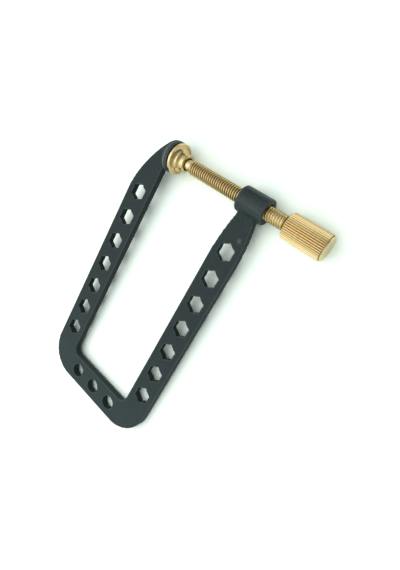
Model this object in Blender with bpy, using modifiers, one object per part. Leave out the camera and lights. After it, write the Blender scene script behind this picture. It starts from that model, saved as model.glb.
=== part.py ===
"""Deep-throat screw clamp: a flat cast U-frame with lightening holes, and a brass screw with a swivel pad.

Metres, +Z up. The clamp lies flat: +X runs along the screw towards the knob and +Y from the bridge of
the U to the jaws. The origin is the middle of the bridge's back edge, half way through the plate.
"""

import math

import bmesh
import bpy

MM = 0.001

# Cast frame: one plate with two arms and a bridge
ARM_WIDTH = 16.0 * MM
THROAT_WIDTH = 51.6 * MM
BRIDGE_WIDTH = 16.0 * MM
REACH = 158.0 * MM  # bridge's back edge to the screw axis
PLATE_THICKNESS = 4.5 * MM
EDGE_ROUND = 0.45 * MM
OUTER_CORNER_RADIUS = 20.0 * MM
INNER_CORNER_RADIUS = 5.0 * MM
JAW_TAPER = 28.5 * MM  # how far below the screw axis the jaw arm starts to lean in
JAW_RISE = 8.1 * MM  # top of the jaw arm above the screw axis
NECK_TAPER = 34.0 * MM  # how far below the screw axis the screw arm starts to narrow
NECK_WIDTH = 9.8 * MM  # screw arm where it runs into the boss

# Lightening holes
HEX_ACROSS_FLATS = 8.5 * MM
HEX_PITCH = 16.6 * MM
HEX_FIRST = 27.5 * MM  # first hexagon below the screw axis
HEX_COUNT = 7
ROUND_HOLE_DIAMETER = 8.4 * MM
ROUND_HOLE_PITCH = 15.5 * MM
ROUND_HOLE_COUNT = 3

# Fixed jaw: a flared land on the jaw arm with a glued facing disc
LAND_RADIUS = 8.7 * MM
LAND_STANDOFF = 2.1 * MM  # land's face beyond the jaw arm's inner edge
LAND_RIM = 0.9 * MM
LAND_FLARE_LENGTH = 7.5 * MM
FACING_RADIUS = 8.9 * MM
FACING_THICKNESS = 2.6 * MM
FACING_CHAMFER = 0.4 * MM
GLUE_LINE = 0.15 * MM

# Screw boss on the other arm
BOSS_DIAMETER = 14.0 * MM
BOSS_LENGTH = 16.4 * MM
BOSS_SHIFT = 0.3 * MM  # boss's middle, from the arm's middle towards the knob
BOSS_ROUND = 0.8 * MM
BORE_CHAMFER = 0.5 * MM

# Screw: 5/16 inch, 18 threads to the inch, drawn at its outside diameter
THREAD_DIAMETER = 7.94 * MM
THREAD_CHAMFER = 0.7 * MM
SCREW_CLEARANCE = 0.25 * MM
NECK_DIAMETER = 5.6 * MM
NECK_SHOW = 3.6 * MM  # plain neck between the pad's mouth and the thread
SCREW_SHOW = 11.55 * MM  # thread between the boss and the knob with the clamp shut

# Knob
KNOB_DIAMETER = 13.7 * MM
KNOB_LENGTH = 22.1 * MM
KNOB_CHAMFER = 0.6 * MM
FLUTE_COUNT = 38
FLUTE_DEPTH = 0.4 * MM
KNOB_BORE_DEPTH = 14.0 * MM
KNOB_COUNTERSINK = 1.1 * MM

# Swivel pad, with its ball socket and snap ring
PAD_RADIUS = 8.8 * MM
PAD_LENGTH = 7.6 * MM
PAD_RIM = 1.5 * MM
PAD_CHAMFER = 0.35 * MM
PAD_STEP_RADIUS = 6.4 * MM
PAD_STEP_LENGTH = 0.7 * MM
PAD_COVE_LENGTH = 1.5 * MM  # length of each hollow, rim to step and step to hub
PAD_HUB_RADIUS = 5.0 * MM
PAD_HUB_ROUND = 0.8 * MM  # rounding of the hub's outer edge at the mouth
PAD_FLOOR = 1.0 * MM
BALL_RADIUS = 3.4 * MM
SOCKET_CLEARANCE = 0.3 * MM
RING_WIRE_RADIUS = 0.35 * MM
RING_RADIUS = 3.5 * MM
RING_FLOAT = 0.4 * MM  # ring's play in its groove, which lets the pad tilt
RING_GAP_DEG = 40.0
MOUTH_CHAMFER = 0.25 * MM
JAW_GAP = 0.85 * MM  # pad to facing as drawn, room for the pad to tilt

# Fineness of the facets
TURN_STEPS = 40
ARC_STEPS = 6
CURVE_STEPS = 9
CUT_OVERLAP = 1.0 * MM

# Places worked out from the sizes above
ARM_X = (THROAT_WIDTH + ARM_WIDTH) / 2
THROAT_X = THROAT_WIDTH / 2
OUTER_X = THROAT_X + ARM_WIDTH
LAND_X = -THROAT_X + LAND_STANDOFF
FACING_X = LAND_X + GLUE_LINE
PAD_X = FACING_X + FACING_THICKNESS + JAW_GAP
BOSS_X = ARM_X + BOSS_SHIFT
KNOB_X = BOSS_X + BOSS_LENGTH / 2 + SCREW_SHOW
SOCKET_RADIUS = BALL_RADIUS + SOCKET_CLEARANCE
BALL_STATION = PAD_FLOOR + SOCKET_RADIUS
BALL_X = PAD_X + BALL_STATION
RING_REACH = math.sqrt((BALL_RADIUS + RING_WIRE_RADIUS) ** 2 - RING_RADIUS**2)
RING_STATION = BALL_STATION + SOCKET_CLEARANCE + RING_REACH

BLACK_CASTING = ("black_coated_casting", (0.035, 0.041, 0.042), 0.55, 0.0)
BLACK_RUBBER = ("black_rubber", (0.030, 0.034, 0.038), 0.75, 0.0)
BRASS = ("turned_brass", (0.72, 0.50, 0.20), 0.28, 1.0)
BLACK_STEEL = ("black_spring_steel", (0.025, 0.022, 0.018), 0.45, 0.6)


def clear_scene():
    for obj in list(bpy.data.objects):
        bpy.data.objects.remove(obj)


def new_collection(name):
    made = bpy.data.collections.new(name)
    bpy.context.scene.collection.children.link(made)
    return made


def material(name, colour, roughness, metallic):
    """One Principled material, made once and shared."""
    made = bpy.data.materials.get(name)
    if made is None:
        made = bpy.data.materials.new(name)
        made.use_nodes = True
        shader = made.node_tree.nodes["Principled BSDF"]
        shader.inputs["Base Color"].default_value = (*colour, 1.0)
        shader.inputs["Roughness"].default_value = roughness
        shader.inputs["Metallic"].default_value = metallic
    return made


def add_object(name, data, collection, finish=None):
    obj = bpy.data.objects.new(name, data)
    collection.objects.link(obj)
    if finish:
        data.materials.append(material(*finish))
    return obj


def as_cutter(obj):
    obj.hide_render = True
    obj.display_type = "WIRE"
    return obj


def carry(obj, pivot):
    """Parents a piece to an unturned empty without moving it."""
    obj.parent = pivot
    obj.location = obj.location - pivot.location
    return obj


def boolean(obj, other, operation):
    made = obj.modifiers.new(operation.title() + " " + other.name, "BOOLEAN")
    made.operation = operation
    made.object = other


def arc(centre, radius, start_deg, end_deg, steps=ARC_STEPS):
    """Points of an arc about centre, from one angle to another."""
    angles = [math.radians(start_deg + (end_deg - start_deg) * i / steps) for i in range(steps + 1)]
    return [(centre[0] + radius * math.cos(a), centre[1] + radius * math.sin(a)) for a in angles]


def bezier(start, start_handle, end_handle, end, steps=CURVE_STEPS):
    """Points of a cubic curve between two points, with their handles."""
    points = []
    for i in range(steps + 1):
        t = i / steps
        weights = ((1 - t) ** 3, 3 * t * (1 - t) ** 2, 3 * t * t * (1 - t), t**3)
        knots = (start, start_handle, end_handle, end)
        points.append(tuple(sum(w * k[axis] for w, k in zip(weights, knots)) for axis in (0, 1)))
    return points


def cove(start, end):
    """Points of a hollow quarter round in a turned profile: along the axis first, then outwards."""
    points = []
    for across, back in arc((1.0, 1.0), 1.0, 180, 270):
        points.append((end[0] + back * (start[0] - end[0]), start[1] + across * (end[1] - start[1])))
    return points


def turned(name, profile, place, collection, finish=None):
    """A solid of revolution on the screw axis.

    The profile holds (distance along +X from the place, radius) pairs, from its +X end to its -X end.
    """
    mesh = bpy.data.meshes.new(name)
    points = [(radius, 0.0, along) for along, radius in profile]
    mesh.from_pydata(points, [(i, i + 1) for i in range(len(points) - 1)], [])
    obj = add_object(name, mesh, collection, finish)
    obj.location = (place, REACH, 0.0)
    obj.rotation_euler = (0.0, math.pi / 2, 0.0)
    screw = obj.modifiers.new("Turn", "SCREW")
    screw.axis = "Z"
    screw.steps = TURN_STEPS
    screw.render_steps = TURN_STEPS
    screw.use_merge_vertices = True
    screw.merge_threshold = 0.01 * MM
    screw.use_smooth_shade = True
    return obj


def mesh_from(obj, name, collection, finish=None):
    """A welded mesh object that takes the place of a curve."""
    bpy.context.view_layer.update()
    graph = bpy.context.evaluated_depsgraph_get()
    mesh = bpy.data.meshes.new_from_object(obj.evaluated_get(graph))
    mesh.name = name
    edit = bmesh.new()
    edit.from_mesh(mesh)
    bmesh.ops.remove_doubles(edit, verts=edit.verts, dist=0.001 * MM)
    bmesh.ops.recalc_face_normals(edit, faces=edit.faces)
    edit.to_mesh(mesh)
    edit.free()
    mesh.materials.clear()
    place = obj.matrix_world.copy()
    bpy.data.objects.remove(obj)
    made = add_object(name, mesh, collection, finish)
    made.matrix_world = place
    return made


def frame_outline():
    """The U's edge, anticlockwise from the bridge's left corner."""
    lean_y = REACH - JAW_TAPER
    jaw_top = REACH + JAW_RISE
    narrow_y = REACH - NECK_TAPER
    neck_y = REACH - BOSS_DIAMETER / 2 + CUT_OVERLAP
    half_neck = NECK_WIDTH / 2
    rise = neck_y - narrow_y
    outer = OUTER_CORNER_RADIUS
    inner = INNER_CORNER_RADIUS
    screw_side = bezier(
        (OUTER_X, narrow_y),
        (OUTER_X, narrow_y + rise * 0.36),
        (ARM_X + half_neck + rise * 0.075, neck_y - rise * 0.38),
        (ARM_X + half_neck, neck_y),
    )
    throat_side = [(2 * ARM_X - x, y) for x, y in reversed(screw_side)]
    jaw_end = bezier(
        (-THROAT_X, jaw_top),
        (-THROAT_X - ARM_WIDTH * 0.45, jaw_top - JAW_RISE * 0.65),
        (-OUTER_X, lean_y + JAW_TAPER * 0.475),
        (-OUTER_X, lean_y),
        steps=2 * CURVE_STEPS,
    )
    return [
        *arc((-OUTER_X + outer, outer), outer, 180, 270),
        *arc((OUTER_X - outer, outer), outer, 270, 360),
        *screw_side,
        (ARM_X + half_neck, REACH),
        (ARM_X - half_neck, REACH),
        *throat_side,
        *arc((THROAT_X - inner, BRIDGE_WIDTH + inner), inner, 360, 270),
        *arc((-THROAT_X + inner, BRIDGE_WIDTH + inner), inner, 270, 180),
        *jaw_end,
    ]


def hole_outlines():
    """Hexagons along both arms, corners along the arm, and round holes along the bridge."""
    outlines = []
    corner_radius = HEX_ACROSS_FLATS / math.sqrt(3)
    for arm_x in (-ARM_X, ARM_X):
        for i in range(HEX_COUNT):
            centre = (arm_x, REACH - HEX_FIRST - i * HEX_PITCH)
            outlines.append(arc(centre, corner_radius, 450, 150, steps=5))
    for i in range(ROUND_HOLE_COUNT):
        centre = ((i - (ROUND_HOLE_COUNT - 1) / 2) * ROUND_HOLE_PITCH, BRIDGE_WIDTH / 2)
        outlines.append(arc(centre, ROUND_HOLE_DIAMETER / 2, 360, 18, steps=19))
    return outlines


def make_plate(collection):
    """The flat U with its holes and softly rounded edges, as a welded mesh."""
    curve = bpy.data.curves.new("plate_outline", "CURVE")
    curve.dimensions = "2D"
    curve.fill_mode = "BOTH"
    curve.extrude = PLATE_THICKNESS / 2 - EDGE_ROUND
    curve.bevel_depth = EDGE_ROUND
    curve.bevel_resolution = 1
    curve.offset = -EDGE_ROUND
    for points in [frame_outline(), *hole_outlines()]:
        spline = curve.splines.new("POLY")
        spline.points.add(len(points) - 1)
        spline.use_cyclic_u = True
        for point, (x, y) in zip(spline.points, points):
            point.co = (x, y, 0.0, 1.0)
    return mesh_from(add_object("plate_outline", curve, collection), "frame", collection, BLACK_CASTING)


def make_frame(parts, cutters):
    """One casting: the plate, the screw boss with its bore, and the fixed jaw's flared land."""
    frame = make_plate(parts)
    half = BOSS_LENGTH / 2
    radius = BOSS_DIAMETER / 2
    boss_end = arc((half - BOSS_ROUND, radius - BOSS_ROUND), BOSS_ROUND, 0, 90, steps=3)
    boss_profile = [
        (half, 0.0),
        *boss_end,
        *[(-along, out) for along, out in reversed(boss_end)],
        (-half, 0.0),
    ]
    boss = as_cutter(turned("screw_boss", boss_profile, BOSS_X, cutters))
    flare_end = -LAND_RIM - LAND_FLARE_LENGTH
    flare = cove((flare_end, PLATE_THICKNESS / 2 - EDGE_ROUND), (-LAND_RIM, LAND_RADIUS))
    land_profile = [
        (0.0, 0.0),
        (0.0, LAND_RADIUS),
        *reversed(flare),
        (flare_end, 0.0),
    ]
    land = as_cutter(turned("jaw_land", land_profile, LAND_X, cutters))
    bore = THREAD_DIAMETER / 2 + SCREW_CLEARANCE
    bore_profile = [
        (half + CUT_OVERLAP, 0.0),
        (half + CUT_OVERLAP, bore + BORE_CHAMFER + CUT_OVERLAP),
        (half - BORE_CHAMFER, bore),
        (-half + BORE_CHAMFER, bore),
        (-half - CUT_OVERLAP, bore + BORE_CHAMFER + CUT_OVERLAP),
        (-half - CUT_OVERLAP, 0.0),
    ]
    bore_cutter = as_cutter(turned("screw_bore", bore_profile, BOSS_X, cutters))
    boolean(frame, boss, "UNION")
    boolean(frame, land, "UNION")
    boolean(frame, bore_cutter, "DIFFERENCE")


def make_facing_disc(parts):
    """The soft facing glued to the fixed jaw's land."""
    profile = [
        (FACING_THICKNESS, 0.0),
        (FACING_THICKNESS, FACING_RADIUS - FACING_CHAMFER),
        (FACING_THICKNESS - FACING_CHAMFER, FACING_RADIUS),
        (FACING_CHAMFER, FACING_RADIUS),
        (0.0, FACING_RADIUS - FACING_CHAMFER),
        (0.0, 0.0),
    ]
    turned("jaw_facing_disc", profile, FACING_X, parts, BLACK_RUBBER)


def make_swivel_pad(parts, pivot):
    """Turned pressure pad: a rimmed foot, two hollow steps, and a hub bored for the screw's ball."""
    step_start = PAD_RIM + PAD_COVE_LENGTH
    step_end = step_start + PAD_STEP_LENGTH
    hub_start = step_end + PAD_COVE_LENGTH
    groove_half = RING_WIRE_RADIUS + RING_FLOAT
    groove_radius = RING_RADIUS + RING_WIRE_RADIUS + RING_FLOAT
    seat = arc((0.0, 0.0), SOCKET_RADIUS, 180, 90)
    profile = [
        *[(BALL_STATION + along, radius) for along, radius in seat],
        (RING_STATION - groove_half, SOCKET_RADIUS),
        (RING_STATION - groove_half, groove_radius),
        (RING_STATION + groove_half, groove_radius),
        (RING_STATION + groove_half, SOCKET_RADIUS),
        (PAD_LENGTH - MOUTH_CHAMFER, SOCKET_RADIUS),
        (PAD_LENGTH, SOCKET_RADIUS + MOUTH_CHAMFER),
        *arc((PAD_LENGTH - PAD_HUB_ROUND, PAD_HUB_RADIUS - PAD_HUB_ROUND), PAD_HUB_ROUND, 0, 90, steps=3),
        *cove((hub_start, PAD_HUB_RADIUS), (step_end, PAD_STEP_RADIUS)),
        *cove((step_start, PAD_STEP_RADIUS), (PAD_RIM, PAD_RADIUS - PAD_CHAMFER)),
        (PAD_RIM - PAD_CHAMFER, PAD_RADIUS),
        (PAD_CHAMFER, PAD_RADIUS),
        (0.0, PAD_RADIUS - PAD_CHAMFER),
        (0.0, 0.0),
    ]
    carry(turned("swivel_pad", profile, PAD_X, parts, BRASS), pivot)


def make_retaining_ring(parts, pivot):
    """Split wire ring, sprung into the pad's groove behind the ball."""
    curve = bpy.data.curves.new("retaining_ring", "CURVE")
    curve.dimensions = "3D"
    curve.bevel_depth = RING_WIRE_RADIUS
    curve.bevel_resolution = 1
    curve.use_fill_caps = True
    spline = curve.splines.new("POLY")
    points = arc((0.0, 0.0), RING_RADIUS, RING_GAP_DEG / 2, 360 - RING_GAP_DEG / 2, steps=4 * ARC_STEPS)
    spline.points.add(len(points) - 1)
    for point, (y, z) in zip(spline.points, points):
        point.co = (0.0, y, z, 1.0)
    wire = add_object("retaining_ring_wire", curve, parts)
    wire.location = (PAD_X + RING_STATION, REACH, 0.0)
    carry(mesh_from(wire, "retaining_ring", parts, BLACK_STEEL), pivot)


def make_spindle(parts, pivot):
    """The screw: ball nose, neck, threaded bar and the tail that the knob is fixed on."""
    radius = THREAD_DIAMETER / 2
    neck = NECK_DIAMETER / 2
    start = PAD_X + PAD_LENGTH + NECK_SHOW - BALL_X
    tail = KNOB_X + KNOB_BORE_DEPTH - SCREW_CLEARANCE - BALL_X
    neck_deg = math.degrees(math.asin(neck / BALL_RADIUS))
    profile = [
        (tail, 0.0),
        (tail, radius - THREAD_CHAMFER),
        (tail - THREAD_CHAMFER, radius),
        (start + THREAD_CHAMFER, radius),
        (start, radius - THREAD_CHAMFER),
        (start, neck),
        *arc((0.0, 0.0), BALL_RADIUS, neck_deg, 180, steps=2 * ARC_STEPS),
    ]
    carry(turned("spindle", profile, BALL_X, parts, BRASS), pivot)


def fluted_step(edit, face, station, crest, root):
    """Extrudes a fluted bar's end face to the next station and sets its crests and roots."""
    made = bmesh.ops.extrude_discrete_faces(edit, faces=[face])["faces"][0]
    for i, loop in enumerate(made.loops):
        point = loop.vert.co
        radius = root if i % 2 else crest
        angle = math.atan2(point.y, point.x)
        point.xyz = (radius * math.cos(angle), radius * math.sin(angle), station)
    return made


def make_knob(parts, cutters, pivot):
    """Straight-fluted brass knob, chamfered at both ends, with a blind bore for the screw."""
    radius = KNOB_DIAMETER / 2
    root = radius - FLUTE_DEPTH
    small = radius - KNOB_CHAMFER
    stations = [
        (KNOB_CHAMFER, radius, root),
        (KNOB_LENGTH - KNOB_CHAMFER, radius, root),
        (KNOB_LENGTH, small, small),
    ]
    edit = bmesh.new()
    bmesh.ops.create_circle(edit, cap_ends=True, segments=2 * FLUTE_COUNT, radius=small)
    edit.faces.ensure_lookup_table()
    end = edit.faces[0]
    end.copy()
    for station, crest, low in stations:
        end = fluted_step(edit, end, station, crest, low)
    bmesh.ops.remove_doubles(edit, verts=edit.verts, dist=0.001 * MM)
    bmesh.ops.recalc_face_normals(edit, faces=edit.faces)
    mesh = bpy.data.meshes.new("knob")
    edit.to_mesh(mesh)
    edit.free()
    knob = add_object("knob", mesh, parts, BRASS)
    knob.location = (KNOB_X, REACH, 0.0)
    knob.rotation_euler = (0.0, math.pi / 2, 0.0)
    bore = THREAD_DIAMETER / 2 + SCREW_CLEARANCE
    profile = [
        (KNOB_BORE_DEPTH, 0.0),
        (KNOB_BORE_DEPTH, bore),
        (KNOB_COUNTERSINK, bore),
        (0.0, bore + KNOB_COUNTERSINK),
        (-CUT_OVERLAP, bore + KNOB_COUNTERSINK),
        (-CUT_OVERLAP, 0.0),
    ]
    boolean(knob, as_cutter(turned("knob_bore", profile, KNOB_X, cutters)), "DIFFERENCE")
    carry(knob, pivot)


def main():
    clear_scene()
    parts = new_collection("screw_clamp")
    cutters = new_collection("cutters")
    pivot = add_object("ball_centre", None, parts)
    pivot.location = (BALL_X, REACH, 0.0)
    make_frame(parts, cutters)
    make_facing_disc(parts)
    make_swivel_pad(parts, pivot)
    make_retaining_ring(parts, pivot)
    make_spindle(parts, pivot)
    make_knob(parts, cutters, pivot)


main()
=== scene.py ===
"""A deep-throat screw clamp lying on a white sheet: black cast U-frame, brass thumbscrew and swivel pad."""

import math

import bmesh
import bpy
import numpy
from mathutils import Matrix, Vector
from mathutils.geometry import interpolate_bezier


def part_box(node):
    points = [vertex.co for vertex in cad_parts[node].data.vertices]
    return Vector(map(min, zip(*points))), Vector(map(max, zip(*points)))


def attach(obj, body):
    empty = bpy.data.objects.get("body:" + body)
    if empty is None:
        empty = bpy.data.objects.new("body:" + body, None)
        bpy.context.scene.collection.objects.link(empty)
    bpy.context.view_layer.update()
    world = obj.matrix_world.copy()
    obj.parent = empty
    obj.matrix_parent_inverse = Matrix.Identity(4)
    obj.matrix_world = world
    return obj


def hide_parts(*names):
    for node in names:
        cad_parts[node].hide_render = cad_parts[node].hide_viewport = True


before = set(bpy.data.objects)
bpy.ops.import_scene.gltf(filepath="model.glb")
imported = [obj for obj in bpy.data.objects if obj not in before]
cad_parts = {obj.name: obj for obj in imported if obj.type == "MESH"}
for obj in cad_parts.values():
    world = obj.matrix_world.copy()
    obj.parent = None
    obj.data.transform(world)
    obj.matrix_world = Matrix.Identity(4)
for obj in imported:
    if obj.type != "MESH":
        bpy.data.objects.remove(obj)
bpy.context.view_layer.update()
scene = bpy.context.scene
scene.view_settings.view_transform = "Standard"

# The viewpoint: a camera close above the screw's knob end, looking down over the whole clamp.
# Its place and angles were worked out from the clamp's edges, holes and screw.
camera = bpy.data.objects.new("camera", bpy.data.cameras.new("camera"))
scene.collection.objects.link(camera)
camera.location = (0.10902, 0.16704, 0.17311)
camera.rotation_euler = [math.radians(angle) for angle in (-1.868, 29.785, 33.250)]
camera.data.lens = 23.28
camera.data.sensor_width = 36.0
camera.data.clip_start = 0.01
scene.camera = camera

# The table: a plain sheet of white card. The clamp lies on its facing disc, on its knob and on one corner
# of the bridge, so the sheet leans a little against the plate.
MM = 0.001
SHEET_HALF = 2.0
SHEET_POINT = (0.0, 0.158, -0.00848)
SHEET_NORMAL = (-0.02135, 0.03542, 1.0)
LIFT_SEEN = 0.38
LIFT_MIRRORED = 0.12


def linear(code):
    """An sRGB hex colour as linear red, green, blue and alpha."""
    parts = [int(code[i : i + 2], 16) / 255 for i in (1, 3, 5)]
    return (*[p / 12.92 if p <= 0.04045 else ((p + 0.055) / 1.055) ** 2.4 for p in parts], 1.0)


def add(material, kind, values=None, links=None, **settings):
    """Adds a shader node with its settings, the values of its inputs and the links into them."""
    made = material.node_tree.nodes.new("ShaderNode" + kind)
    for name, value in settings.items():
        setattr(made, name, value)
    for key, value in (values or {}).items():
        made.inputs[key].default_value = value
    for key, output in (links or {}).items():
        material.node_tree.links.new(output, made.inputs[key])
    return made


def new_material(name):
    """An empty node material."""
    made = bpy.data.materials.new(name)
    made.use_nodes = True
    made.node_tree.nodes.clear()
    return made


def new_piece(name, bm, material, smooth_deg=35.0):
    """A mesh object at the origin from a bmesh in metres, shaded smooth but for its sharp edges."""
    mesh = bpy.data.meshes.new(name)
    bm.to_mesh(mesh)
    bm.free()
    mesh.materials.append(material)
    mesh.shade_smooth()
    mesh.set_sharp_from_angle(angle=math.radians(smooth_deg))
    made = bpy.data.objects.new(name, mesh)
    scene.collection.objects.link(made)
    return made


# Matt white card: even, with the faintest tooth. It is lifted to plain white where it is seen directly and
# a little in the metal, and it still takes the clamp's soft shadow.
card = new_material("white_card")
place = add(card, "TexCoord").outputs["Object"]
tooth = add(card, "TexNoise", {"Scale": 1 / (4 * MM), "Detail": 4.0}, {"Vector": place})
shade = add(
    card, "Mix", {6: linear("#F0F7F1"), 7: linear("#F4F9F4")}, {0: tooth.outputs["Fac"]}, data_type="RGBA"
)
ray = add(card, "LightPath").outputs
mirrored = add(card, "Math", links={0: ray["Is Glossy Ray"], 1: ray["Is Transmission Ray"]}, operation="ADD")
lift = add(card, "Math", {1: LIFT_MIRRORED, 2: 1.0}, {0: mirrored.outputs[0]}, operation="MULTIPLY_ADD")
lift = add(
    card, "Math", {1: LIFT_SEEN}, {0: ray["Is Camera Ray"], 2: lift.outputs[0]}, operation="MULTIPLY_ADD"
)
lifted = add(card, "VectorMath", links={0: shade.outputs[2], "Scale": lift.outputs[0]}, operation="SCALE")
card_shader = add(card, "BsdfDiffuse", links={"Color": lifted.outputs[0]})
add(card, "OutputMaterial", links={"Surface": card_shader.outputs[0]})

bm = bmesh.new()
bmesh.ops.create_grid(bm, x_segments=4, y_segments=4, size=SHEET_HALF)
lean = Vector((0, 0, 1)).rotation_difference(Vector(SHEET_NORMAL).normalized())
bmesh.ops.transform(bm, matrix=lean.to_matrix().to_4x4(), verts=bm.verts)
bmesh.ops.translate(bm, vec=SHEET_POINT, verts=bm.verts)
table = new_piece("table", bm, card)

# The light: a wide soft box high on the jaw's side, and a pale room that is brightest there too, dims
# towards the knob's far side and is dimmed again behind the camera.
LAMP_PLACE = Vector((-0.55, -0.19, 1.35))
LAMP_AIM = Vector((0.02, 0.11, 0.0))
lamp = bpy.data.lights.new("softbox", "AREA")
lamp.shape = "SQUARE"
lamp.size = 1.6
lamp.energy = 5.5
softbox = bpy.data.objects.new("softbox", lamp)
scene.collection.objects.link(softbox)
softbox.location = LAMP_PLACE
softbox.rotation_euler = (LAMP_AIM - LAMP_PLACE).to_track_quat("-Z", "Y").to_euler()

room = bpy.data.worlds.new("pale_room")
room.use_nodes = True
room.node_tree.nodes.clear()
look = add(room, "TexCoord").outputs["Generated"]
to_lamp = add(room, "VectorMath", {1: (-0.45, -0.35, 0.82)}, {0: look}, operation="DOT_PRODUCT")
level = add(room, "MapRange", {1: -0.4, 2: 0.95, 3: 0.16, 4: 1.36}, {0: to_lamp.outputs["Value"]})
to_camera = add(room, "VectorMath", {1: (0.45, 0.10, 0.89)}, {0: look}, operation="DOT_PRODUCT")
dimmed = add(room, "MapRange", {1: 0.80, 2: 0.96, 3: 1.0, 4: 0.62}, {0: to_camera.outputs["Value"]})
strength = add(room, "Math", links={0: level.outputs[0], 1: dimmed.outputs[0]}, operation="MULTIPLY")
# past the table's edge the camera sees the same white
seen = add(room, "LightPath").outputs["Is Camera Ray"]
strength = add(room, "Mix", {3: 1.0}, {0: seen, 2: strength.outputs[0]})
tint = add(room, "Mix", {6: linear("#F1FAF6"), 7: linear("#FFFFFF")}, {0: seen}, data_type="RGBA")
glow = add(room, "Background", links={"Color": tint.outputs[2], "Strength": strength.outputs[0]})
add(room, "OutputWorld", links={"Surface": glow.outputs[0]})
scene.world = room

# The frame: one casting with two arms, a bridge, a boss for the screw and a flared land for the fixed jaw.
# It is cast in light alloy, tumbled so that its edges are soft, and coated matt black.
# Its sizes are in millimetres.
REACH = 158.0
HALF_SPAN = 42.1
HALF_THROAT = 25.5
ARM_MIDDLE = (HALF_SPAN + HALF_THROAT) / 2
ARM_END = 152.6
BRIDGE_BACK = -0.3
BRIDGE_FRONT = 16.3
BEND_OUTSIDE = 20.0
BEND_INSIDE = 5.0
PLATE = 4.5
HEXAGONS_PER_ARM = 7
HEXAGON_FIRST = 130.5
HEXAGON_PITCH = 16.6
HEXAGON_FLAT = 4.25
HEXAGON_CORNER = 5.25
HEXAGON_DRAFT = 1.08
ROUND_HOLE = 4.2
ROUND_HOLE_PITCH = 15.5
BOSS_RADIUS = 7.0
BOSS_BORE = 4.15
BOSS_FRONT = 25.9
BOSS_BACK = 42.3
LAND_FACE = -23.7
LAND_RADIUS = 8.7
LAND_BACK = -32.1
FILLET = 4.0
FILLET_FRONT = 28.8
FILLET_LENGTH = 10.0
AXIS = Vector((0.0, REACH * MM, 0.0))


def round_corners(bm, corners, radius, segments):
    """Rounds some corners of a flat outline."""
    bmesh.ops.bevel(
        bm,
        geom=corners,
        offset=radius,
        offset_type="OFFSET",
        affect="VERTICES",
        segments=segments,
        profile=0.5,
        material=-1,
    )


def thicken(bm, by):
    """Raises all the faces of a flat shape, so that they wall in a solid."""
    raised = bmesh.ops.extrude_face_region(bm, geom=bm.faces[:])["geom"]
    bmesh.ops.translate(bm, vec=by, verts=[v for v in raised if isinstance(v, bmesh.types.BMVert)])


def turn(corners, steps=96):
    """A solid turned on the screw axis, in millimetres about that axis.

    Each corner of the half outline is (along the screw, out from it, rounding).
    """
    bm = bmesh.new()
    verts = [bm.verts.new((along, out, 0.0)) for along, out, _ in corners]
    bm.faces.new(verts)
    for size in sorted({rounding for _, _, rounding in corners if rounding}):
        round_corners(bm, [v for v, corner in zip(verts, corners) if corner[2] == size], size, 5)
    bmesh.ops.delete(bm, geom=bm.faces[:], context="FACES_ONLY")
    on_axis = [e for e in bm.edges if all(abs(v.co.y) < 1e-6 for v in e.verts)]
    bmesh.ops.delete(bm, geom=on_axis, context="EDGES")
    bmesh.ops.spin(
        bm,
        geom=bm.verts[:] + bm.edges[:],
        cent=(0, 0, 0),
        axis=(1, 0, 0),
        angle=math.tau,
        steps=steps,
        use_merge=True,
    )
    bmesh.ops.remove_doubles(bm, verts=bm.verts, dist=0.0005)
    bmesh.ops.recalc_face_normals(bm, faces=bm.faces)
    return bm


def seat(bm):
    """Takes a shape from millimetres about the screw axis to its place."""
    bmesh.ops.scale(bm, vec=(MM, MM, MM), verts=bm.verts)
    bmesh.ops.translate(bm, vec=AXIS, verts=bm.verts)
    return bm


# The edge and hollow marks drive real wear and dirt, and also painted highlights and painted shade.
def mark_edges_and_hollows(mesh, reach):
    """Writes how far each point stands out from its neighbours (edge) or lies below them (hollow), 0 to 1.

    A rounding whose radius is the reach, in metres, gets 1.
    """
    points = numpy.empty(3 * len(mesh.vertices))
    normals = numpy.empty(3 * len(mesh.vertices))
    ends = numpy.empty(2 * len(mesh.edges), dtype=int)
    mesh.vertices.foreach_get("co", points)
    mesh.vertices.foreach_get("normal", normals)
    mesh.edges.foreach_get("vertices", ends)
    points, normals, ends = points.reshape(-1, 3), normals.reshape(-1, 3), ends.reshape(-1, 2)
    step = points[ends[:, 1]] - points[ends[:, 0]]
    swing = ((normals[ends[:, 1]] - normals[ends[:, 0]]) * step).sum(1)
    swing = swing / numpy.maximum((step**2).sum(1), 1e-12)
    bend = numpy.zeros(len(points))
    count = numpy.zeros(len(points))
    for side in (0, 1):
        numpy.add.at(bend, ends[:, side], swing)
        numpy.add.at(count, ends[:, side], 1)
    bend = bend / count * reach
    for name, sign in (("edge", 1), ("hollow", -1)):
        mark = mesh.attributes.new(name, "FLOAT", "POINT")
        mark.data.foreach_set("value", numpy.clip(sign * bend, 0.0, 1.0))


# the plate's outline, with y counted from the bridge towards the screw
screw_edge = interpolate_bezier(
    (HALF_SPAN, 124.0, 0), (HALF_SPAN, 134.1, 0), (41.1, 141.4, 0), (39.0, 152.0, 0), 24
)
throat_edge = [Vector((2 * ARM_MIDDLE - p.x, p.y, 0)) for p in reversed(screw_edge)]
screw_corners = [Vector((p.x, ARM_END, 0)) for p in (screw_edge[-1], throat_edge[0])]
jaw_edge = interpolate_bezier(
    (-HALF_THROAT, 166.4, 0), (-33.1, 161.1, 0), (-HALF_SPAN, 143.1, 0), (-HALF_SPAN, 129.5, 0), 40
)
bm = bmesh.new()
bridge_bends = [bm.verts.new((x, BRIDGE_BACK, 0)) for x in (-HALF_SPAN, HALF_SPAN)]
screw_end = [bm.verts.new(p) for p in (*screw_edge, *screw_corners, *throat_edge)]
throat_bends = [bm.verts.new((x, BRIDGE_FRONT, 0)) for x in (HALF_THROAT, -HALF_THROAT)]
jaw_end = [bm.verts.new(p) for p in jaw_edge]
bm.faces.new(bridge_bends + screw_end + throat_bends + jaw_end)
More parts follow.
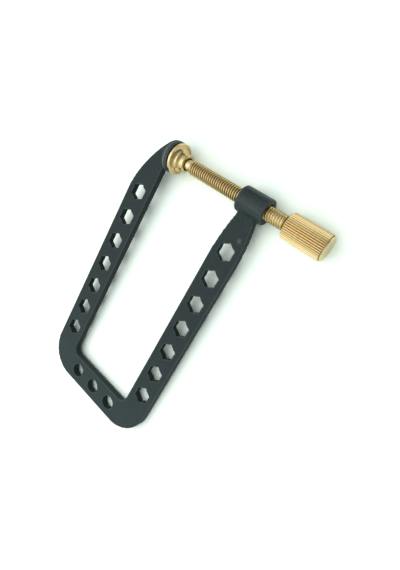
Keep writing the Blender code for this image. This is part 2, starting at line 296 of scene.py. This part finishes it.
round_corners(bm, bridge_bends, BEND_OUTSIDE, 24)
round_corners(bm, throat_bends, BEND_INSIDE, 24)
bmesh.ops.delete(bm, geom=bm.faces[:], context="FACES_ONLY")

# hexagons along both arms, a corner towards the arm's end and every corner drawn out a little
hexagons = [
    Vector((arm, HEXAGON_FIRST - HEXAGON_PITCH * i, 0))
    for arm in (-ARM_MIDDLE, ARM_MIDDLE)
    for i in range(HEXAGONS_PER_ARM)
]
for centre in hexagons:
    circle = bmesh.ops.create_circle(bm, segments=18, radius=1.0, matrix=Matrix.Translation(centre))
    for v in circle["verts"]:
        spoke = v.co - centre
        from_corner = abs(math.degrees(math.atan2(spoke.y, spoke.x)) % 60 - 30)
        on_flat = HEXAGON_FLAT / math.cos(math.radians(30 - from_corner))
        v.co = centre + spoke.normalized() * (HEXAGON_CORNER if from_corner < 5 else on_flat)
# round holes along the middle of the bridge
for i in (-1, 0, 1):
    hole = Matrix.Translation((ROUND_HOLE_PITCH * i, (BRIDGE_BACK + BRIDGE_FRONT) / 2, 0))
    bmesh.ops.create_circle(bm, segments=48, radius=ROUND_HOLE, matrix=hole)
bmesh.ops.triangle_fill(bm, use_beauty=True, edges=bm.edges[:], normal=(0, 0, 1))
bmesh.ops.translate(bm, vec=(0, -REACH, -PLATE / 2), verts=bm.verts)
thicken(bm, (0, 0, PLATE))
# the hexagons are cast with draft and widen towards the lower face
for centre in hexagons:
    middle = centre - Vector((0, REACH, PLATE / 2))
    rim = [v for v in bm.verts if (v.co - middle).length < HEXAGON_CORNER + 0.35]
    widen = (HEXAGON_DRAFT, HEXAGON_DRAFT, 1.0)
    bmesh.ops.scale(bm, vec=widen, space=Matrix.Translation(-middle), verts=rim)
bmesh.ops.recalc_face_normals(bm, faces=bm.faces)

boss = turn(
    [
        (BOSS_BACK, BOSS_BORE + 0.25, 0.1),
        (BOSS_BACK, BOSS_RADIUS, 0.35),
        (BOSS_FRONT, BOSS_RADIUS, 0.6),
        (BOSS_FRONT, BOSS_BORE + 0.65, 0.15),
        (BOSS_FRONT + 0.6, BOSS_BORE, 0),
        (BOSS_BACK - 0.3, BOSS_BORE, 0),
    ]
)
land = turn(
    [
        (LAND_FACE, 0, 0),
        (LAND_FACE, LAND_RADIUS, 0.3),
        (LAND_FACE - 0.9, LAND_RADIUS, 0.2),
        (LAND_FACE - 3.3, 4.6, 2.2),
        (LAND_BACK, 1.8, 0),
        (LAND_BACK, 0, 0),
    ]
)
# a fillet leads the arm up into the boss on both faces
height = PLATE / 2 + FILLET
beside = math.sqrt((BOSS_RADIUS + FILLET) ** 2 - height**2)
sweep = [math.radians(-90 + math.degrees(math.atan2(beside, height)) * i / 8) for i in range(9)]
upper = [(FILLET * math.cos(a) - beside, height + FILLET * math.sin(a)) for a in sweep]
lower = [(y, -z) for y, z in reversed(upper)]
web = bmesh.new()
web.faces.new([web.verts.new((FILLET_FRONT, y, z)) for y, z in upper + lower])
thicken(web, (FILLET_LENGTH, 0, 0))
bmesh.ops.recalc_face_normals(web, faces=web.faces)
for shape in (boss, land, web):
    joined = bpy.data.meshes.new("joined")
    shape.to_mesh(joined)
    shape.free()
    bm.from_mesh(joined)
    bpy.data.meshes.remove(joined)
seat(bm)

# Black coated casting: a thin matt coat, dark blue-green grey and a little cloudy, with warmer blotches.
# It is lighter towards the bridge, and its edges are rubbed paler and painted lighter as a highlight.
SCUFF = (0.0387, 0.1401, 0.0034)
coat = new_material("black_coated_casting")
place = add(coat, "TexCoord").outputs["Object"]
cloud = add(coat, "TexNoise", {"Scale": 1 / (14 * MM), "Detail": 5.0, "Roughness": 0.6}, {"Vector": place})
blotch = add(coat, "TexNoise", {"Scale": 1 / (3.2 * MM), "Detail": 4.0, "Roughness": 0.7}, {"Vector": place})
grain = add(coat, "TexNoise", {"Scale": 1 / (1.1 * MM), "Detail": 3.0, "Roughness": 0.7}, {"Vector": place})
body = add(
    coat, "Mix", {6: linear("#1C2729"), 7: linear("#283436")}, {0: cloud.outputs["Fac"]}, data_type="RGBA"
)
warm = add(coat, "MapRange", {1: 0.48, 2: 0.68, 3: 0.0, 4: 0.7}, {0: blotch.outputs["Fac"]})
body = add(
    coat, "Mix", {7: linear("#30332F")}, {0: warm.outputs[0], 6: body.outputs[2]}, data_type="RGBA"
)
about = add(coat, "VectorMath", {1: AXIS}, {0: place}, operation="SUBTRACT")
split = add(coat, "SeparateXYZ", links={0: about.outputs[0]})
# the coat is lighter towards the bridge, and pale specks fleck it all over
towards_bridge = add(coat, "MapRange", {1: -0.09, 2: -0.158, 3: 0.0, 4: 0.30}, {0: split.outputs["Y"]})
speck = add(coat, "MapRange", {1: 0.35, 2: 0.75, 3: 0.0, 4: 0.35}, {0: grain.outputs["Fac"]})
specks_and_bridge = add(coat, "Math", links={0: speck.outputs[0], 1: towards_bridge.outputs[0]}, operation="ADD")
lightened = add(
    coat, "Mix", {7: linear("#3A4749")}, {0: specks_and_bridge.outputs[0], 6: body.outputs[2]}, data_type="RGBA"
)
# one ragged scuff lies between the screw arm's first hexagon and the boss
ragged = add(coat, "VectorMath", {"Scale": 2.2 * MM}, {0: blotch.outputs["Color"]}, operation="SCALE")
ragged = add(coat, "VectorMath", links={0: place, 1: ragged.outputs[0]}, operation="ADD")
off = add(coat, "VectorMath", {1: SCUFF}, {0: ragged.outputs[0]}, operation="DISTANCE")
spot = add(coat, "MapRange", {1: 0.4 * MM, 2: 1.6 * MM, 3: 0.75, 4: 0.0}, {0: off.outputs["Value"]})
scuff = add(coat, "Math", links={0: spot.outputs[0], 1: grain.outputs["Fac"]}, operation="MULTIPLY")
scuffed = add(
    coat, "Mix", {7: linear("#777A76")}, {0: scuff.outputs[0], 6: lightened.outputs[2]}, data_type="RGBA"
)
# the edges are rubbed paler, and the same lightening is a painted highlight on their roundings
edge = add(coat, "Attribute", attribute_name="edge")
rub_and_highlight = add(coat, "MapRange", {1: 0.15, 2: 0.8, 3: 0.0, 4: 0.45}, {0: edge.outputs["Fac"]})
rubbed_and_highlit = add(
    coat, "Mix", {7: linear("#5C6769")}, {0: rub_and_highlight.outputs[0], 6: scuffed.outputs[2]}, data_type="RGBA"
)
# the boss is finished smoother than the cast arms, and fine pale streaks run along it, partly real and partly
# a painted highlight along its length away from the arm
ring_plane = add(coat, "CombineXYZ", links={1: split.outputs["Y"], 2: split.outputs["Z"]})
out = add(coat, "VectorMath", links={0: ring_plane.outputs[0]}, operation="LENGTH")
near = add(coat, "MapRange", {1: 7.1 * MM, 2: 7.8 * MM, 3: 1.0, 4: 0.0}, {0: out.outputs["Value"]})
screw_side = add(coat, "Math", {1: 20 * MM}, {0: split.outputs["X"]}, operation="GREATER_THAN")
smooth = add(coat, "Math", links={0: near.outputs[0], 1: screw_side.outputs[0]}, operation="MULTIPLY")
past_arm = add(coat, "MapRange", {1: -6.2 * MM, 2: -2.2 * MM, 3: 0.0, 4: 1.0}, {0: split.outputs["Y"]})
smooth = add(coat, "Math", links={0: smooth.outputs[0], 1: past_arm.outputs[0]}, operation="MULTIPLY")
streak_scale = (1 / (12 * MM), 1 / (0.9 * MM), 1 / (0.9 * MM))
drawn = add(coat, "VectorMath", {1: streak_scale}, {0: place}, operation="MULTIPLY")
streaks = add(
    coat, "TexNoise", {"Scale": 1.0, "Detail": 3.0, "Roughness": 0.7}, {"Vector": drawn.outputs[0]}
)
streak_and_highlight = add(coat, "MapRange", {1: 0.38, 2: 0.72, 3: 0.0, 4: 0.6}, {0: streaks.outputs["Fac"]})
streak_and_highlight = add(coat, "Math", links={0: streak_and_highlight.outputs[0], 1: smooth.outputs[0]}, operation="MULTIPLY")
skin = add(
    coat, "Mix", {7: linear("#444C49")}, {0: streak_and_highlight.outputs[0], 6: rubbed_and_highlit.outputs[2]}, data_type="RGBA"
)
matt = add(coat, "MapRange", {1: 0.3, 2: 0.7, 3: 0.54, 4: 0.68}, {0: cloud.outputs["Fac"]})
matt = add(coat, "Mix", {3: 0.24}, {0: smooth.outputs[0], 2: matt.outputs[0]})
tooth = add(coat, "Bump", {"Strength": 0.35, "Distance": 0.08 * MM}, {"Height": grain.outputs["Fac"]})
coat_shader = add(
    coat,
    "BsdfPrincipled",
    {"IOR": 1.5, "Specular IOR Level": 0.2},
    {"Base Color": skin.outputs[2], "Roughness": matt.outputs[0], "Normal": tooth.outputs[0]},
)
add(coat, "OutputMaterial", links={"Surface": coat_shader.outputs[0]})

casting = new_piece("frame_casting", bm, coat)
melt = casting.modifiers.new("Melt", "REMESH")
melt.mode = "VOXEL"
melt.voxel_size = 0.45 * MM
soften = casting.modifiers.new("Soften", "SMOOTH")
soften.factor = 0.5
soften.iterations = 3
scene.view_layers[0].update()
soft = bpy.data.meshes.new_from_object(casting.evaluated_get(bpy.context.evaluated_depsgraph_get()))
rough = casting.data
casting.modifiers.clear()
casting.data = soft
bpy.data.meshes.remove(rough)
soft.name = "frame_casting"
soft.shade_smooth()
mark_edges_and_hollows(soft, 1.0 * MM)
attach(casting, "frame")
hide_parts("frame")

# The facing: a thin moulded disc of black rubber, so that the fixed jaw doesn't mark the work.
# It is glued to the jaw's land, and a pale line behind its rim is a painted highlight on its back edge.
FACING_RADIUS = 8.9
HIGHLIGHT_BAND = 0.35
low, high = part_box("jaw_facing_disc")
front, back = high.x / MM, low.x / MM
bm = turn(
    [
        (front, 0, 0),
        (front, FACING_RADIUS, 0.5),
        (back + 0.45, FACING_RADIUS, 0),
        (back, FACING_RADIUS, 0.3),
        (back, 0, 0),
    ],
    128,
)

# Black rubber: soft-looking, bluish black with a dull even sheen
rubber = new_material("black_rubber")
place = add(rubber, "TexCoord").outputs["Object"]
bloom = add(rubber, "TexNoise", {"Scale": 1 / (5 * MM), "Detail": 4.0}, {"Vector": place})
fine = add(rubber, "TexNoise", {"Scale": 1 / (0.5 * MM), "Detail": 2.0}, {"Vector": place})
tone = add(
    rubber, "Mix", {6: linear("#222A2C"), 7: linear("#323B3D")}, {0: bloom.outputs["Fac"]}, data_type="RGBA"
)
# a pale band at the disc's back edge is a painted highlight
rim_highlight = add(rubber, "Attribute", attribute_name="rim_highlight")
pale = add(rubber, "MapRange", {1: 0.2, 2: 0.9, 3: 0.0, 4: 0.9}, {0: rim_highlight.outputs["Fac"]})
tone = add(
    rubber, "Mix", {7: linear("#9CA8A6")}, {0: pale.outputs[0], 6: tone.outputs[2]}, data_type="RGBA"
)
skin = add(rubber, "Bump", {"Strength": 0.25, "Distance": 0.05 * MM}, {"Height": fine.outputs["Fac"]})
rubber_shader = add(
    rubber,
    "BsdfPrincipled",
    {"Roughness": 0.55, "IOR": 1.52},
    {"Base Color": tone.outputs[2], "Normal": skin.outputs[0]},
)
add(rubber, "OutputMaterial", links={"Surface": rubber_shader.outputs[0]})
facing_disc = new_piece("facing_disc", seat(bm), rubber)
# the band nearest the land carries the painted highlight
highlighted_rim = facing_disc.data.attributes.new("rim_highlight", "FLOAT", "POINT")
for v, mark in zip(facing_disc.data.vertices, highlighted_rim.data):
    mark.value = 1.0 if v.co.x < (back + HIGHLIGHT_BAND) * MM else 0.0
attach(facing_disc, "frame")
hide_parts("jaw_facing_disc")

# The swivel pad: turned from brass bar, with a broad rim, two hollow steps and a hub. The hub is bored for
# the screw's ball, and a groove inside its mouth takes the ring that keeps the ball in.
PAD_RADIUS = 8.8
STEP_RADIUS = 6.4
HUB_RADIUS = 4.95
LIP_RADIUS = 3.62
SOCKET_RADIUS = 3.7
GROOVE_RADIUS = 4.25
low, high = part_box("swivel_pad")
face, mouth = low.x / MM, high.x / MM
bm = turn(
    [
        (face, 0, 0),
        (face + 1.0, 0, 0),
        (face + 2.1, 2.65, 1.0),
        (face + 4.7, SOCKET_RADIUS, 0.6),
        (face + 5.6, SOCKET_RADIUS, 0),
        (face + 5.6, GROOVE_RADIUS, 0),
        (face + 7.1, GROOVE_RADIUS, 0),
        (face + 7.1, LIP_RADIUS, 0.1),
        (mouth, LIP_RADIUS, 0.15),
        (mouth, HUB_RADIUS, 0.8),
        (face + 5.0, HUB_RADIUS, 0.7),
        (face + 3.7, STEP_RADIUS, 0.3),
        (face + 3.0, STEP_RADIUS, 0.4),
        (face + 1.7, 7.4, 0.9),
        (face + 1.4, PAD_RADIUS, 0.25),
        (face, PAD_RADIUS, 0.3),
    ],
    160,
)


def machined_brass(name, soil_and_shade, glint, stain_and_shade, edge_polish_and_highlight, smoothest, cut_depth):
    """Brass with the tool's fine rings, browner in hollows (dirt and painted shade), paler on edges (polish
    and painted highlight).

    The hollows take the soil colour as far as stain says, as dirt and painted shade that also browns their
    edge-on tint.
    Worn says how far the edges are polished and painted paler as a highlight; the thumbed mark paints a
    whiter polish and highlight.
    Glint colours the metal seen edge-on. The rings' roughness starts at smoothest, and cut_depth is their
    strength.
    """
    brass = new_material(name)
    place = add(brass, "TexCoord").outputs["Object"]
    about = add(brass, "VectorMath", {1: AXIS}, {0: place}, operation="SUBTRACT")
    split = add(brass, "SeparateXYZ", links={0: about.outputs[0]})
    ring_plane = add(brass, "CombineXYZ", links={1: split.outputs["Y"], 2: split.outputs["Z"]})
    out = add(brass, "VectorMath", links={0: ring_plane.outputs[0]}, operation="LENGTH")
    along = add(brass, "Math", links={0: split.outputs["X"], 1: out.outputs["Value"]}, operation="ADD")
    track = add(brass, "CombineXYZ", links={0: along.outputs[0]})
    # tool rings about 0.2 mm apart, uneven
    ring_grain = {"Scale": 1 / (0.2 * MM), "Detail": 3.0, "Roughness": 0.65}
    rings = add(brass, "TexNoise", ring_grain, {"Vector": track.outputs[0]})
    tarnish_grain = {"Scale": 1 / (4 * MM), "Detail": 5.0, "Roughness": 0.6}
    tarnish = add(brass, "TexNoise", tarnish_grain, {"Vector": place})
    metal = add(
        brass,
        "Mix",
        {6: linear("#CAAC75"), 7: linear("#DBC291")},
        {0: tarnish.outputs["Fac"]},
        data_type="RGBA",
    )
    # hollows darken with dirt and painted shade; edges and polished places pale with polish and painted
    # highlights
    hollow = add(brass, "Attribute", attribute_name="hollow")
    dirt_and_shade = add(brass, "MapRange", {1: 0.1, 2: 0.7, 3: 0.0, 4: stain_and_shade}, {0: hollow.outputs["Fac"]})
    edge = add(brass, "Attribute", attribute_name="edge")
    rub_and_highlight = add(brass, "MapRange", {1: 0.1, 2: 0.7, 3: 0.0, 4: edge_polish_and_highlight}, {0: edge.outputs["Fac"]})
    polish_and_highlight = add(brass, "Attribute", attribute_name="polish_and_highlight")
    colour = metal.outputs[2]
    for tint, share in (
        (soil_and_shade, dirt_and_shade.outputs[0]),
        ("#EFDBAA", rub_and_highlight.outputs[0]),
        ("#EEDFBC", polish_and_highlight.outputs["Fac"]),
    ):
        colour = add(brass, "Mix", {7: linear(tint)}, {0: share, 6: colour}, data_type="RGBA").outputs[2]
    # the edge-on tint browns where the hollows are painted darker, a painted darker reflection, and whitens
    # where a highlight is painted
    glance = add(
        brass, "Mix", {6: linear(glint), 7: linear("#6E532C")}, {0: dirt_and_shade.outputs[0]}, data_type="RGBA"
    )
    glance = add(
        brass,
        "Mix",
        {7: linear("#FFF6E2")},
        {0: polish_and_highlight.outputs["Fac"], 6: glance.outputs[2]},
        data_type="RGBA",
    )
    dull = add(
        brass, "MapRange", {1: 0.3, 2: 0.7, 3: smoothest, 4: smoothest + 0.14}, {0: rings.outputs["Fac"]}
    )
    cut = add(
        brass, "Bump", {"Strength": cut_depth, "Distance": 0.02 * MM}, {"Height": rings.outputs["Fac"]}
    )
    shader = add(
        brass,
        "BsdfPrincipled",
        {"Metallic": 1.0},
        {
            "Base Color": colour,
            "Specular Tint": glance.outputs[2],
            "Roughness": dull.outputs[0],
            "Normal": cut.outputs[0],
        },
    )
    add(brass, "OutputMaterial", links={"Surface": shader.outputs[0]})
    return brass


# Turned brass: yellow metal, paler on the high bands from polish and a painted highlight, browner in the
# hollows from patina and painted shade
turned_brass = machined_brass("turned_brass", "#8A5C30", "#F0E4C4", 0.42, 0.7, 0.08, 0.12)
pad = new_piece("pressure_pad", seat(bm), turned_brass)
mark_edges_and_hollows(pad.data, 0.6 * MM)
# the broad face behind the rim and the mouth's edge are painted browner as darker reflections, and the bore
# is painted dark as shade
for v, hollow in zip(pad.data.vertices, pad.data.attributes["hollow"].data):
    along, out = v.co.x / MM, math.hypot(v.co.y - AXIS.y, v.co.z) / MM
    if STEP_RADIUS + 0.2 < out < PAD_RADIUS - 0.25 and along > face + 1.2:
        hollow.value = max(hollow.value, 0.30)
    elif 4.0 < out and along > mouth - 0.7:
        hollow.value = max(hollow.value, 0.35)
    elif out < 3.9 and along > face + 5.0:
        hollow.value = 1.0
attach(pad, "pad")
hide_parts("swivel_pad")

# The retaining ring: a split ring of blackened spring wire. It is sprung into the groove in the pad's mouth,
# behind the screw's ball.
WIRE_RADIUS = 0.35
RING_RADIUS = 3.5
RING_GAP = 40
low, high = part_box("retaining_ring")
bm = bmesh.new()
wire = Matrix.Translation(((low.x + high.x) / 2 / MM, RING_RADIUS, 0))
bmesh.ops.create_circle(bm, segments=20, radius=WIRE_RADIUS, matrix=wire)
half_gap = Matrix.Rotation(math.radians(RING_GAP / 2), 3, "X")
bmesh.ops.rotate(bm, cent=(0, 0, 0), matrix=half_gap, verts=bm.verts)
bmesh.ops.spin(
    bm,
    geom=bm.verts[:] + bm.edges[:],
    cent=(0, 0, 0),
    axis=(1, 0, 0),
    angle=math.radians(360 - RING_GAP),
    steps=96,
)
bmesh.ops.holes_fill(bm, edges=[e for e in bm.edges if e.is_boundary], sides=0)
bmesh.ops.recalc_face_normals(bm, faces=bm.faces)

# Blackened spring steel: nearly black with a brown cast and a low gleam
spring = new_material("blackened_spring_steel")
place = add(spring, "TexCoord").outputs["Object"]
mottle = add(spring, "TexNoise", {"Scale": 1 / (0.8 * MM), "Detail": 3.0}, {"Vector": place})
dark = add(
    spring, "Mix", {6: linear("#120F0A"), 7: linear("#221C13")}, {0: mottle.outputs["Fac"]}, data_type="RGBA"
)
gleam = add(spring, "MapRange", {3: 0.35, 4: 0.55}, {0: mottle.outputs["Fac"]})
spring_shader = add(
    spring,
    "BsdfPrincipled",
    {"Metallic": 0.3},
    {"Base Color": dark.outputs[2], "Roughness": gleam.outputs[0]},
)
add(spring, "OutputMaterial", links={"Surface": spring_shader.outputs[0]})
snap_ring = new_piece("snap_ring", seat(bm), spring)
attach(snap_ring, "ring")
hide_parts("retaining_ring")

# The screw: brass bar with a right-hand thread, 18 turns to the inch, a plain neck and a ball nose that
# turns in the pad. Past the thread a plain relief leads into the knob, where the tail is fixed.
PITCH = 25.4 / 18
CREST_RADIUS = 3.95
BALL_RADIUS = 3.4
NECK_RADIUS = 2.95
NECK_LENGTH = 3.6
RELIEF_RADIUS = 3.2
RELIEF_LENGTH = 1.35
RUN_OUT_FROM = 42.0
RUN_OUT_LENGTH = 4.0
RUN_OUT_SHARE = 0.55
UNUSED_FROM = 43.0
STEPS_PER_TURN = 48
low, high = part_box("spindle")
nose, tail = low.x / MM, high.x / MM
ball = nose + BALL_RADIUS
thread_start = mouth + NECK_LENGTH
thread_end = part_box("knob")[0].x / MM - RELIEF_LENGTH
# one tooth: share of the pitch, and radius
tooth_form = (
    (0.0, 3.22),
    (0.04, 3.24),
    (0.24, 3.70),
    (0.31, 3.84),
    (0.41, 3.93),
    (0.50, CREST_RADIUS),
    (0.59, 3.93),
    (0.69, 3.84),
    (0.76, 3.70),
    (0.96, 3.24),
    (1.0, 3.22),
)
bm = bmesh.new()
row = [bm.verts.new((thread_start - 2 * PITCH + PITCH * t, out, 0)) for t, out in tooth_form]
for a, b in zip(row, row[1:]):
    bm.edges.new((a, b))
turns = math.ceil((thread_end - thread_start) / PITCH) + 4
bmesh.ops.spin(
    bm,
    geom=bm.verts[:] + bm.edges[:],
    cent=(0, 0, 0),
    axis=(1, 0, 0),
    dvec=(PITCH / STEPS_PER_TURN, 0, 0),
    angle=math.tau * turns,
    steps=STEPS_PER_TURN * turns,
)
bmesh.ops.remove_doubles(bm, verts=bm.verts, dist=0.002)
for x, side in ((thread_start, -1), (thread_end, 1)):
    bmesh.ops.bisect_plane(
        bm,
        geom=bm.verts[:] + bm.edges[:] + bm.faces[:],
        plane_co=(x, 0, 0),
        plane_no=(side, 0, 0),
        clear_outer=True,
    )
# the first turns are chamfered down to the neck, and the last ones run out towards the knob
for v in bm.verts:
    out = math.hypot(v.co.y, v.co.z)
    chamfer = 3.15 + (v.co.x - thread_start)
    depth = 1.0 - RUN_OUT_SHARE * min(1.0, max(0.0, (v.co.x - RUN_OUT_FROM) / RUN_OUT_LENGTH))
    v.co.yz *= min(chamfer, CREST_RADIUS - depth * (CREST_RADIUS - out)) / out


def lead(bm, rim, along, out):
    """Extrudes an open rim to another place and radius on the screw axis, and gives the new rim."""
    made = bmesh.ops.extrude_edge_only(bm, edges=rim)["geom"]
    for v in made:
        if isinstance(v, bmesh.types.BMVert):
            angle = math.atan2(v.co.z, v.co.y)
            v.co = (along, out * math.cos(angle), out * math.sin(angle))
    return [e for e in made if isinstance(e, bmesh.types.BMEdge) and e.is_boundary]


rims = [e for e in bm.edges if e.is_boundary]
front_rim = [e for e in rims if all(abs(v.co.x - thread_start) < 0.01 for v in e.verts)]
back_rim = [e for e in rims if all(abs(v.co.x - thread_end) < 0.01 for v in e.verts)]
for along, out in ((thread_start, 3.1), (thread_start - 0.1, 3.0), (thread_start - 0.3, NECK_RADIUS)):
    front_rim = lead(bm, front_rim, along, out)
for degrees in range(62, 180, 8):
    angle = math.radians(degrees)
    front_rim = lead(bm, front_rim, ball + BALL_RADIUS * math.cos(angle), BALL_RADIUS * math.sin(angle))
for along, out in (
    (thread_end, RELIEF_RADIUS + 0.1),
    (thread_end + 0.1, RELIEF_RADIUS),
    (thread_end + 2.0, RELIEF_RADIUS),
    (tail - 0.4, RELIEF_RADIUS),
    (tail, RELIEF_RADIUS - 0.4),
):
    back_rim = lead(bm, back_rim, along, out)
bmesh.ops.holes_fill(bm, edges=[e for e in bm.edges if e.is_boundary], sides=0)
bmesh.ops.recalc_face_normals(bm, faces=bm.faces)

# Rolled brass thread: the same metal, browner down in the thread from dirt and painted shade, and paler on
# its crests from wear and a painted highlight
rolled_brass = machined_brass("rolled_brass_thread", "#7A5A2A", "#A68C58", 0.85, 0.4, 0.2, 0.3)
screw = new_piece("screw_spindle", seat(bm), rolled_brass)
mark_edges_and_hollows(screw.data, 0.4 * MM)
polish_and_highlight = screw.data.attributes.new("polish_and_highlight", "FLOAT", "POINT")
# dirt and painted shade fill the thread from the root up the flanks; the end by the knob never enters the
# boss, so it stays cleaner, but the relief is painted dark as shade, and the neck and ball are painted paler
# as a highlight
for v, hollow in zip(screw.data.vertices, screw.data.attributes["hollow"].data):
    along, depth = v.co.x / MM, 3.90 - math.hypot(v.co.y - AXIS.y, v.co.z) / MM
    if along > thread_end:
        hollow.value = 1.0
    elif along < thread_start - 0.05:
        hollow.value = 0.0
        polish_and_highlight.data[v.index].value = 0.4
    else:
        hollow.value = min(1.0, max(0.0, depth / 0.5)) * (0.2 if along > UNUSED_FROM else 0.75)
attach(screw, "screw")
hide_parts("spindle")

# The knob: a brass sleeve with straight knurling between a chamfered front and a narrow groove, with a plain
# collar at its end. Its front is bored and countersunk for the screw's tail, which is fixed in it.
FLUTES = 38
KNURL = (0.0, 0.03, 0.20, 0.42, 0.50, 0.42, 0.20, 0.03)
KNOB_RADIUS = 6.85
BORE_RADIUS = 4.2
GROOVE_FRONT = 0.73
GROOVE_BACK = 0.40
low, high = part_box("knob")
start, end = low.x / MM, high.x / MM
bm = bmesh.new()
across = Matrix.Rotation(math.radians(90), 4, "Y")
bmesh.ops.create_circle(bm, segments=len(KNURL) * FLUTES, radius=1.0, matrix=across)
rim = bm.edges[:]
for v in bm.verts:
    angle = math.atan2(v.co.z, v.co.y)
    v.co = (start + 6.0, BORE_RADIUS * math.cos(angle), BORE_RADIUS * math.sin(angle))
for along, out in (
    (start + 1.2, BORE_RADIUS),
    (start + 1.1, BORE_RADIUS + 0.05),
    (start + 0.08, 5.25),
    (start, 5.35),
    (start, 6.2),
):
    rim = lead(bm, rim, along, out)
# place, radius of the crests, and share of the flutes' depth
for along, crest, depth in (
    (start + 0.08, 6.36, 0.1),
    (start + 0.3, 6.68, 0.7),
    (start + 0.5, KNOB_RADIUS, 1.0),
    (end - 0.95, KNOB_RADIUS, 1.0),
    (end - 0.75, 6.55, 0.5),
    (end - 0.70, 6.22, 0.0),
    (end - 0.42, 6.22, 0.0),
    (end - 0.36, 6.58, 0.0),
    (end - 0.06, 6.36, 0.0),
):
    rim = lead(bm, rim, along, crest)
    for v in {v for e in rim for v in e.verts}:
        turn_share = math.atan2(v.co.z, v.co.y) / math.tau * FLUTES % 1.0
        out = crest - depth * KNURL[round(turn_share * len(KNURL)) % len(KNURL)]
        v.co.yz = v.co.yz.normalized() * out
for along, out in ((end, 6.25), (end, 4.0), (end, 2.0)):
    rim = lead(bm, rim, along, out)
bmesh.ops.holes_fill(bm, edges=[e for e in bm.edges if e.is_boundary], sides=0)
bmesh.ops.recalc_face_normals(bm, faces=bm.faces)

# Knurled brass: duller than the turned faces, because the knurling wheel presses it
knurled_brass = machined_brass("knurled_brass", "#86602C", "#B79D66", 0.55, 0.8, 0.2, 0.3)
knob = new_piece("knurled_knob", seat(bm), knurled_brass, 25.0)
mark_edges_and_hollows(knob.data, 0.3 * MM)
polish_and_highlight = knob.data.attributes.new("polish_and_highlight", "FLOAT", "POINT")
# dirt and painted shade fill the flutes, the groove behind the end collar is painted dark as shade, and the
# end is polished by the thumb and painted paler as a highlight
for v, hollow in zip(knob.data.vertices, knob.data.attributes["hollow"].data):
    along, depth = v.co.x / MM, KNOB_RADIUS - math.hypot(v.co.y - AXIS.y, v.co.z) / MM
    if start + 0.4 < along < end - GROOVE_FRONT:
        hollow.value = min(1.0, max(0.0, depth / 0.5)) * 0.75
    elif end - GROOVE_FRONT < along < end - GROOVE_BACK:
        hollow.value = 1.0
    elif along > end - GROOVE_BACK:
        hollow.value = 0.0
        polish_and_highlight.data[v.index].value = 1.0
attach(knob, "screw")
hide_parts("knob")
